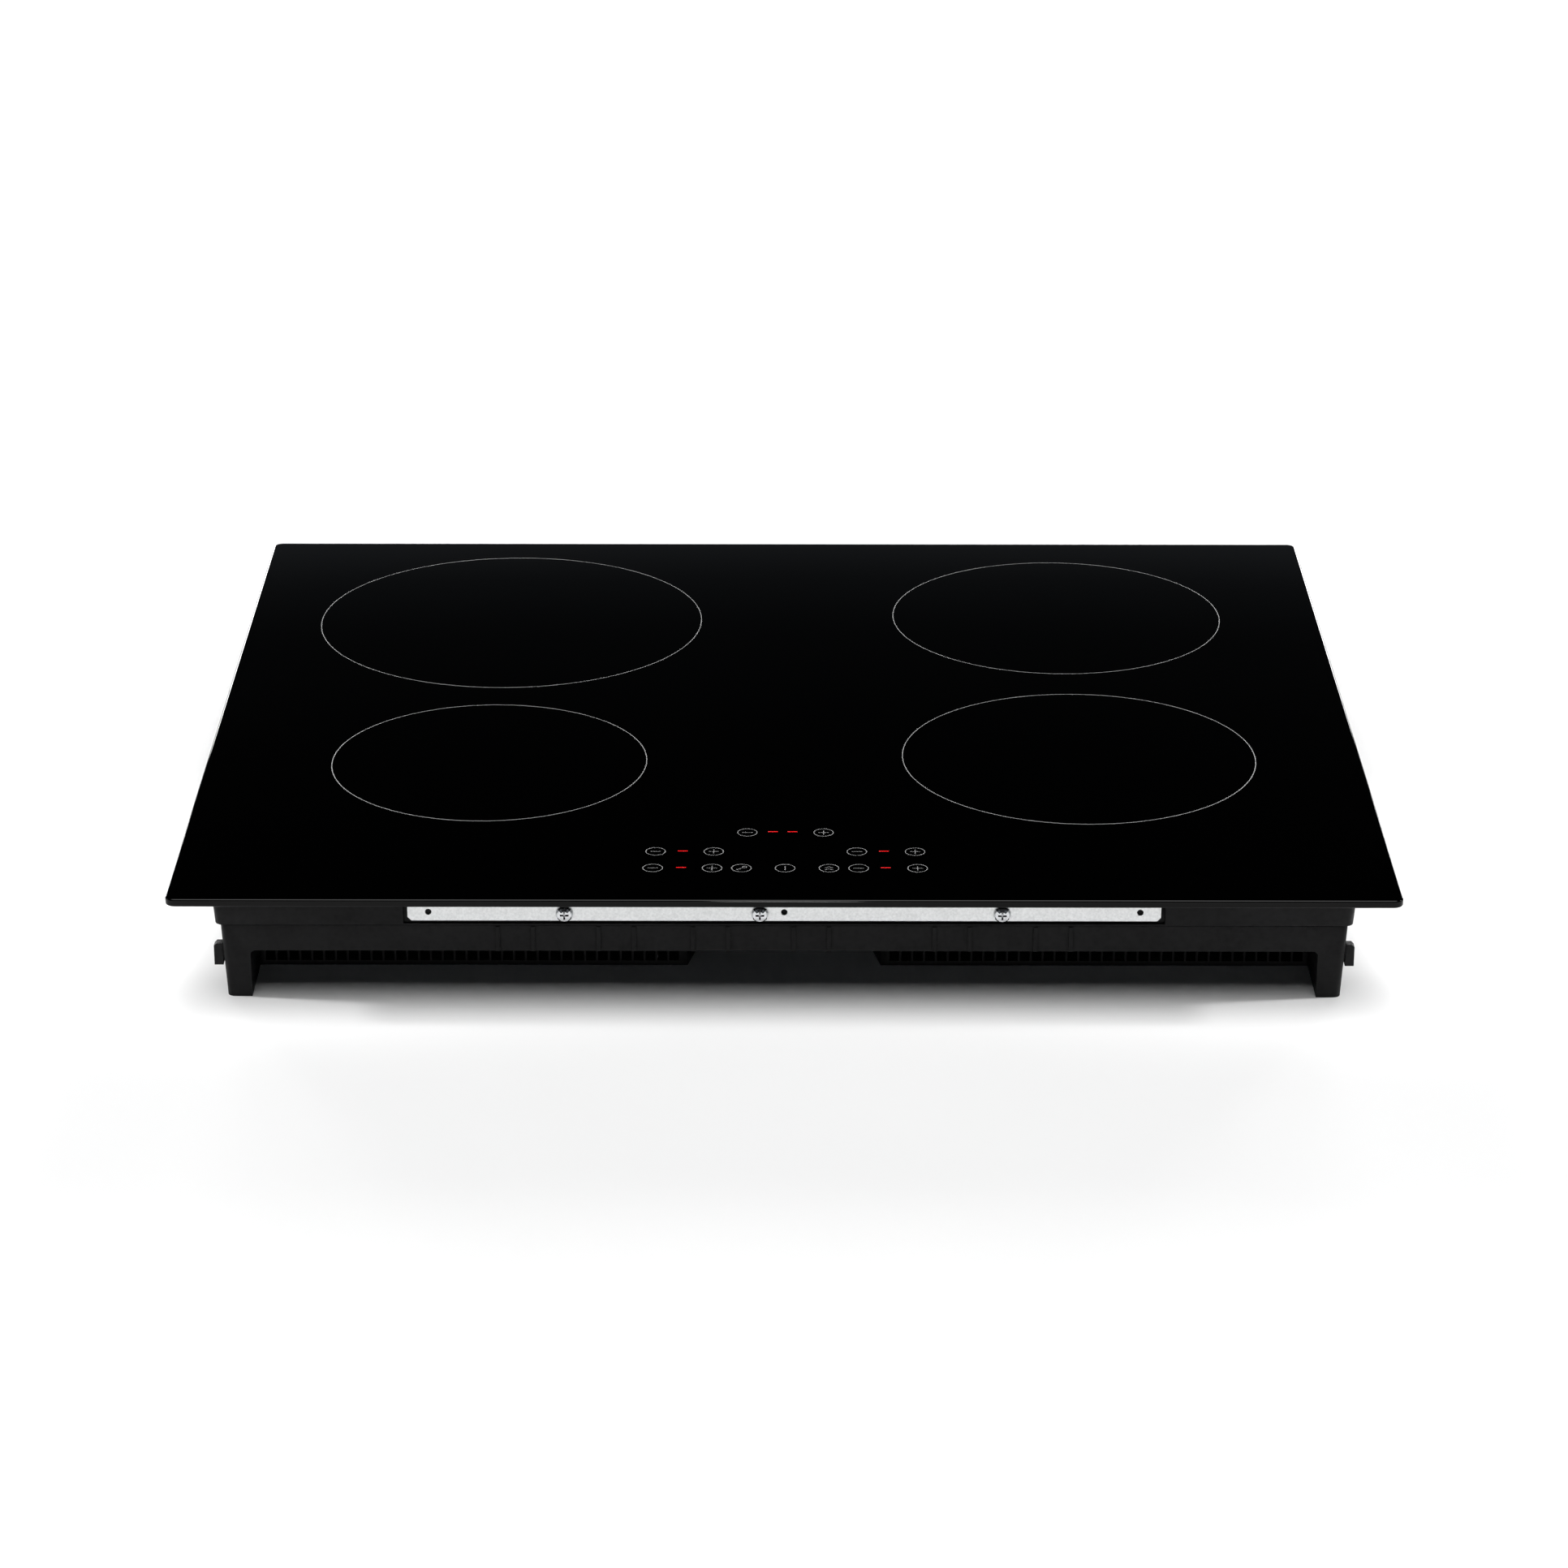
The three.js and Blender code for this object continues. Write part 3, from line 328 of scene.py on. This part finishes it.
def black_plastic(name, level, roughness, specular):
    """Moulded black plastic: mottled and grained, with painted shade in its seams and painted light on its
    vent bars.
    """
    look = Look(name, grey(level), roughness, specular=specular)
    dark = (0.7 * level, 0.7 * level, 0.74 * level)
    light = (1.35 * level, 1.35 * level, 1.42 * level)
    look.vary_color(look.noise(scale=45, detail=7), dark, light)
    look.vary_roughness(look.noise(scale=420, detail=3), roughness - 0.1, roughness + 0.1)
    look.bump(look.noise(scale=2600, detail=3), strength=0.5, distance=0.1 * MM)
    # Painted light: the vent bars' fronts turn paler towards their tops.
    look.mix_color(look.vent_bar_painted_light_mask(), grey(VENT_BAR_PAINTED_LIGHT_LEVEL))
    # Painted shade: darker in the seams and inner corners.
    look.mix_color(look.painted_seam_shade_mask(reach=1.6 * MM), grey(0.1 * level))
    return look.material


def zinc_plate():
    look = Look("zinc_plate", (0.73, 0.74, 0.74), roughness=0.4, metallic=1.0)
    look.vary_color(look.noise(scale=900, detail=8), (0.66, 0.67, 0.67), (0.8, 0.81, 0.81))
    look.vary_roughness(look.noise(scale=700, detail=5), 0.32, 0.52)
    look.bump(look.noise(scale=1800, detail=4), strength=0.25, distance=0.06 * MM)
    return look.material


def plated_steel():
    look = Look("plated_steel", (0.74, 0.75, 0.77), roughness=0.14, metallic=1.0)
    look.vary_color(look.noise(scale=900, detail=3), (0.68, 0.69, 0.71), (0.8, 0.81, 0.83))
    look.vary_roughness(look.noise(scale=1600, detail=3), 0.1, 0.2)
    look.bump(look.noise(scale=2400, detail=2), strength=0.1, distance=0.04 * MM)
    # Painted shade: darker in the seams and recesses.
    look.mix_color(look.painted_seam_shade_mask(reach=1.2 * MM), (0.02, 0.02, 0.022))
    return look.material


def printed_ink():
    look = Look("printed_ink", grey(0.2), roughness=0.6)
    look.vary_color(look.noise(scale=3000, detail=2), grey(0.13), grey(0.21))
    return look.material


def lit_segment():
    look = Look("lit_segment", (0.12, 0.001, 0.001), roughness=0.6, specular=0.02)
    look.set("Emission Color", (1.0, 0.0, 0.004, 1))
    look.set("Emission Strength", 0.9)
    look.bump(look.noise(scale=900, detail=2), strength=0.1, distance=0.02 * MM)
    return look.material


def soft_rubber(name, dark, light, grain):
    look = Look(name, light, roughness=0.85, specular=0.2)
    look.vary_color(look.noise(scale=200, detail=4), dark, light)
    look.bump(look.cells(grain), strength=0.5, distance=0.2 * MM)
    return look.material


def aluminium():
    look = Look("mill_aluminium", (0.72, 0.73, 0.74), roughness=0.38, metallic=1.0)
    look.vary_roughness(look.noise(scale=500, detail=4, stretch=(1, 14, 1)), 0.28, 0.5)
    look.bump(look.noise(scale=800, detail=3, stretch=(1, 18, 1)), strength=0.15, distance=0.05 * MM)
    return look.material


def make_materials():
    return {
        "black_glass": black_glass(),
        "black_plastic": black_plastic("black_plastic", level=0.0052, roughness=0.55, specular=0.145),
        "dark_plastic": black_plastic("dark_plastic", level=0.0056, roughness=0.5, specular=0.17),
        "foam": soft_rubber("sealing_foam", grey(0.012), grey(0.02), grain=1800),
        "silicone": soft_rubber("silicone", (0.035, 0.036, 0.038), (0.06, 0.06, 0.064), grain=600),
        "zinc_steel": zinc_plate(),
        "steel": plated_steel(),
        "aluminium": aluminium(),
        "copper_litz": plastic("enamelled_copper", (0.34, 0.1, 0.03), (0.55, 0.2, 0.07), 0.4, 1400, 0.6),
        "former_plastic": plastic("former_plastic", (0.03, 0.032, 0.036), (0.05, 0.052, 0.06), 0.5),
        "mica": plastic("pressed_mica", (0.24, 0.2, 0.13), (0.34, 0.28, 0.19), 0.45, 900, 0.5),
        "circuit": plastic("circuit_board", (0.006, 0.06, 0.02), (0.012, 0.1, 0.035), 0.35, 900, 0.5),
        "capacitor": plastic("capacitor_case", (0.42, 0.32, 0.06), (0.5, 0.4, 0.1), 0.35, 700, 0.5),
        "ferrite": plastic("ferrite", (0.02, 0.02, 0.023), (0.04, 0.04, 0.045), 0.55, 1500, 0.5),
        "terminal_plastic": plastic("terminal_plastic", (0.5, 0.47, 0.38), (0.6, 0.57, 0.48), 0.35, 900),
        "display": plastic("display_case", (0.012, 0.004, 0.004), (0.02, 0.006, 0.006), 0.25, 400, 0.5),
        "wire": plastic("wire_insulation", (0.05, 0.05, 0.055), (0.09, 0.09, 0.1), 0.45, 700, 0.4),
    }


# ---------------------------------------------------------------- shapes


def shade_smooth_group():
    """A modifier's node group that makes faces smooth, so that the bevel after it sets the normals."""
    group = bpy.data.node_groups.new("smooth_faces", "GeometryNodeTree")
    group.interface.new_socket("Geometry", in_out="INPUT", socket_type="NodeSocketGeometry")
    group.interface.new_socket("Geometry", in_out="OUTPUT", socket_type="NodeSocketGeometry")
    source = group.nodes.new("NodeGroupInput")
    smooth = group.nodes.new("GeometryNodeSetShadeSmooth")
    result = group.nodes.new("NodeGroupOutput")
    group.links.new(source.outputs[0], smooth.inputs["Geometry"])
    group.links.new(smooth.outputs["Geometry"], result.inputs[0])
    return group


WELD_DISTANCE = 0.002 * MM
FLAT_ANGLE = 0.5
SHARP_ANGLE = 32
EDGE_ROUNDING = 0.35 * MM
EDGE_SEGMENTS = 2


def soften_edges(piece, smooth_group):
    """Rounds every edge of a faceted piece that turns by more than the sharp angle, in degrees."""
    weld = piece.modifiers.new("weld", "WELD")
    weld.merge_threshold = WELD_DISTANCE
    flat = piece.modifiers.new("flat_faces", "DECIMATE")
    flat.decimate_type = "DISSOLVE"
    flat.angle_limit = math.radians(FLAT_ANGLE)
    smooth = piece.modifiers.new("smooth_faces", "NODES")
    smooth.node_group = smooth_group
    bevel = piece.modifiers.new("round_edges", "BEVEL")
    bevel.width = EDGE_ROUNDING
    bevel.segments = EDGE_SEGMENTS
    bevel.limit_method = "ANGLE"
    bevel.angle_limit = math.radians(SHARP_ANGLE)
    bevel.harden_normals = True
    bevel.use_clamp_overlap = True


def new_piece(name, mesh, material, body=COOKTOP):
    piece = bpy.data.objects.new(name, mesh)
    bpy.context.scene.collection.objects.link(piece)
    piece.data.materials.append(material)
    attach(piece, body)
    return piece


def mesh_from(name, build):
    made = bmesh.new()
    build(made)
    mesh = bpy.data.meshes.new(name)
    made.to_mesh(mesh)
    made.free()
    return mesh


def rounded_outline(half_x, half_y, radius, steps):
    """A rectangle round the origin with its corners rounded, each in the given number of steps."""
    points = []
    for corner, (sx, sy) in enumerate(((1, 1), (-1, 1), (-1, -1), (1, -1))):
        for i in range(steps + 1):
            angle = math.pi / 2 * (corner + i / steps)
            x = sx * (half_x - radius) + radius * math.cos(angle)
            y = sy * (half_y - radius) + radius * math.sin(angle)
            points.append((x, y))
    return points


def lofted(made, rings):
    """Joins rings of points one after the other and caps the first and the last."""
    loops = [[made.verts.new(p) for p in ring] for ring in rings]
    count = len(loops[0])
    for low, high in zip(loops, loops[1:]):
        for i in range(count):
            j = (i + 1) % count
            made.faces.new((low[i], low[j], high[j], high[i])).smooth = True
    made.faces.new(loops[0][::-1])
    made.faces.new(loops[-1])


# ---------------------------------------------------------------- glass and print

GLASS_CORNER = 5 * MM
GLASS_EDGE = 0.9 * MM
GLASS_CORNER_STEPS = 10
GLASS_EDGE_STEPS = 6
PRINT_HEIGHT = 0.03 * MM


def glass_plate(material):
    """The CAD plate's size with rounded edges, its top lower by the height of the print."""
    low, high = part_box("glass_top")
    half_x, half_y = (high.x - low.x) / 2, (high.y - low.y) / 2
    top = high.z - PRINT_HEIGHT
    rings = []
    for centre, start in ((low.z + GLASS_EDGE, -90), (top - GLASS_EDGE, 0)):
        for i in range(GLASS_EDGE_STEPS + 1):
            angle = math.radians(start + 90 * i / GLASS_EDGE_STEPS)
            back = GLASS_EDGE * (1 - math.cos(angle))
            z = centre + GLASS_EDGE * math.sin(angle)
            outline = rounded_outline(half_x - back, half_y - back, GLASS_CORNER - back, GLASS_CORNER_STEPS)
            rings.append([(x, y, z) for x, y in outline])
    mesh = mesh_from("glass_plate", lambda made: lofted(made, rings))
    plate = new_piece("glass_plate", mesh, material)
    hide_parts("glass_top")


def flat_ring(made, x, y, radius, width, z, segments):
    inner, outer = [], []
    for i in range(segments):
        angle = 2 * math.pi * i / segments
        for loop, r in ((inner, radius - width), (outer, radius)):
            loop.append(made.verts.new((x + r * math.cos(angle), y + r * math.sin(angle), z)))
    for i in range(segments):
        j = (i + 1) % segments
        made.faces.new((inner[i], outer[i], outer[j], inner[j]))


def flat_stroke(made, points, width, z):
    """A line through the points, square at its ends and a little narrower at its bends."""
    left, right = [], []
    for i, point in enumerate(points):
        before = Vector(points[max(i - 1, 0)])
        after = Vector(points[min(i + 1, len(points) - 1)])
        along = (after - before).normalized()
        across = Vector((-along.y, along.x)) * width / 2
        left.append(made.verts.new((*(Vector(point) + across), z)))
        right.append(made.verts.new((*(Vector(point) - across), z)))
    for i in range(len(points) - 1):
        made.faces.new((right[i], right[i + 1], left[i + 1], left[i]))


LINE = 0.4 * MM
KEY_RADIUS = 4.95 * MM
KEY_RING_SEGMENTS = 40
SIGN = 2.6 * MM


def minus_sign(made, x, y, z):
    flat_stroke(made, [(x - SIGN, y), (x + SIGN, y)], LINE, z)


def plus_sign(made, x, y, z):
    minus_sign(made, x, y, z)
    for way in (-1, 1):
        flat_stroke(made, [(x, y + way * LINE / 2), (x, y + way * SIGN)], LINE, z)


def bar_sign(made, x, y, z):
    flat_stroke(made, [(x, y - SIGN), (x, y + SIGN)], LINE, z)


# A slanting key, by places in millimetres from the middle of its ring: the bow, the shaft and two teeth.
BOW_CENTRE = (1.5, 1.3)
BOW_RADIUS = 1.25 * MM
BOW_SEGMENTS = 20
KEY_SHAFT = ((0.6, 0.5), (-2.6, -2.2))
KEY_TEETH = (((-2.2, -1.7), (-1.5, -2.5)), ((-1.1, -0.8), (-0.5, -1.5)))


def key_sign(made, x, y, z):
    def place(point):
        return (x + point[0] * MM, y + point[1] * MM)

    flat_ring(made, *place(BOW_CENTRE), BOW_RADIUS, LINE, z, BOW_SEGMENTS)
    for stroke in (KEY_SHAFT, *KEY_TEETH):
        flat_stroke(made, [place(point) for point in stroke], LINE, z)


CHEVRON_HALF = 1.9 * MM
CHEVRON_RISE = 1.5 * MM
CHEVRON_BASES = (-2.2 * MM, 0.2 * MM)


def double_chevron_sign(made, x, y, z):
    for base in CHEVRON_BASES:
        foot = y + base
        points = [(x - CHEVRON_HALF, foot), (x, foot + CHEVRON_RISE), (x + CHEVRON_HALF, foot)]
        flat_stroke(made, points, LINE, z)


# Each key's sign and its place in millimetres.
KEYS = (
    (minus_sign, -18.2, -175.9), (plus_sign, 19.3, -175.9),
    (minus_sign, -62.7, -200.1), (plus_sign, -34.4, -200.1),
    (minus_sign, 35.3, -200.1), (plus_sign, 63.7, -200.1),
    (minus_sign, -63.6, -220.8), (plus_sign, -34.9, -220.8),
    (minus_sign, 35.9, -220.8), (plus_sign, 64.4, -220.8),
    (key_sign, -20.7, -220.8), (bar_sign, 0.4, -220.8), (double_chevron_sign, 21.6, -220.8),
)
ZONE_LINE = 0.48 * MM
ZONE_MARGIN = 8 * MM
ZONE_SEGMENTS = 160


def print_on_glass(material):
    """A ring round each coil, and the ring and sign of each key, at the very top of the CAD box."""

    def rings(made):
        for zone in ZONES:
            low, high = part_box(f"coil_former_{zone}")
            centre = (low + high) / 2
            radius = (high.x - low.x) / 2 + ZONE_MARGIN
            flat_ring(made, centre.x, centre.y, radius, ZONE_LINE, HIGH.z, ZONE_SEGMENTS)

    def keys(made):
        for sign, x_mm, y_mm in KEYS:
            x, y = x_mm * MM, y_mm * MM
            flat_ring(made, x, y, KEY_RADIUS, LINE, HIGH.z, KEY_RING_SEGMENTS)
            sign(made, x, y, HIGH.z)

    new_piece("zone_rings", mesh_from("zone_rings", rings), material)
    new_piece("key_symbols", mesh_from("key_symbols", keys), material)


DASH_HALF_LENGTH = 2.4 * MM
DASH_WIDTH = 0.9 * MM
DASH_BEHIND_MIDDLE = 0.5 * MM
DASH_HEIGHT = HIGH.z - PRINT_HEIGHT / 3
TIMER_DIGITS = (-4.8 * MM, 4.8 * MM)


def lit_dashes(material):
    """One lit dash over each zone's display and two over the timer's, just below the print."""

    def build(made):
        for display in [f"zone_display_{zone}" for zone in ZONES] + ["timer_display"]:
            low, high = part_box(display)
            centre = (low + high) / 2
            for offset in TIMER_DIGITS if display == "timer_display" else (0,):
                x, y = centre.x + offset, centre.y + DASH_BEHIND_MIDDLE
                ends = [(x - DASH_HALF_LENGTH, y), (x + DASH_HALF_LENGTH, y)]
                flat_stroke(made, ends, DASH_WIDTH, DASH_HEIGHT)

    new_piece("lit_dashes", mesh_from("lit_dashes", build), material)


# ---------------------------------------------------------------- assembly

MATERIALS = make_materials()
SLOT_OF = {part["node"]: part["material_slot"] for part in frame["record"]["subparts"]}
SMOOTH = shade_smooth_group()

for name, node in NODES.items():
    node.data.materials.clear()
    node.data.materials.append(MATERIALS[SLOT_OF[name]])

for name in ("upper_frame", "bottom_tray"):
    soften_edges(NODES[name], SMOOTH)

glass_plate(MATERIALS["black_glass"])
print_on_glass(printed_ink())
lit_dashes(lit_segment())

make_camera()
make_world()
make_lights()
make_floor()
bpy.context.scene.view_settings.view_transform = "Standard"
